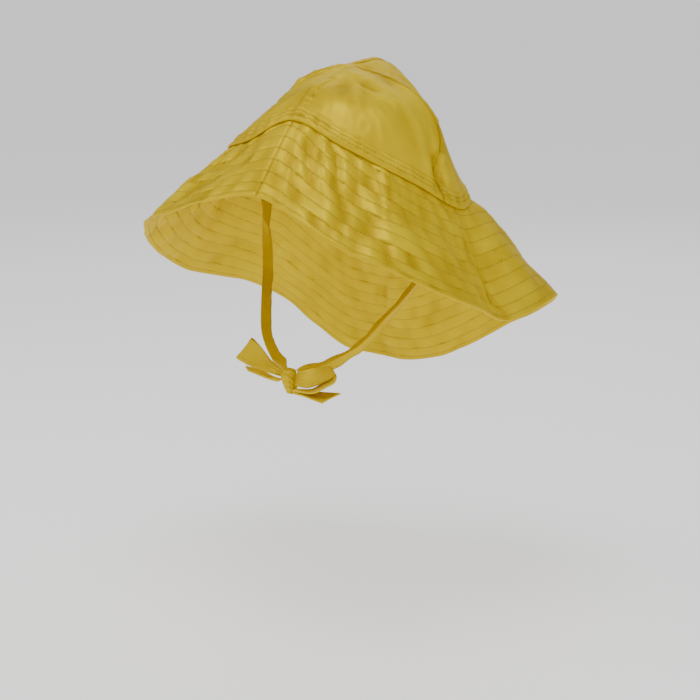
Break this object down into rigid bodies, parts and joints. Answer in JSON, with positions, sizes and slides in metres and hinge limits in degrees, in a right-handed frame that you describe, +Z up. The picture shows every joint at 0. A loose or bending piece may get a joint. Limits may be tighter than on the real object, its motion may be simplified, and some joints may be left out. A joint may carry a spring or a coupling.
{
  "type": "rain hat",
  "caption": "Coated cloth rain hat with a panelled crown, a wide stitched brim that is long behind the neck, and chin ties in a bow",
  "frame": {"origin": "The middle of the head opening, level with the middle height of the seam that joins crown and brim, where the wearer's head sits.", "axes": "+Z is up, -Y is the wearer's front, +X is the wearer's left."},
  "size_m": [0.3269, 0.2909, 0.277],
  "materials": {
    "crown_cloth": "yellow coated rainwear cloth, semi-gloss, soft creases",
    "brim_cloth": "yellow coated rainwear cloth, semi-gloss, quilted by rows of stitching",
    "tie_tape": "flat tape of the same yellow cloth, stitched along both edges"
  },
  "bodies": {
    "root": {"crown_front_left": "crown_cloth", "crown_front_right": "crown_cloth", "crown_back_left": "crown_cloth", "crown_back_right": "crown_cloth", "brim_left": "brim_cloth", "brim_right": "brim_cloth", "tie_left": "tie_tape", "tie_right": "tie_tape", "bow_knot": "tie_tape", "bow_loop_left": "tie_tape", "bow_loop_right": "tie_tape", "bow_tail_left": "tie_tape", "bow_tail_right": "tie_tape"}
  },
  "joints": []
}
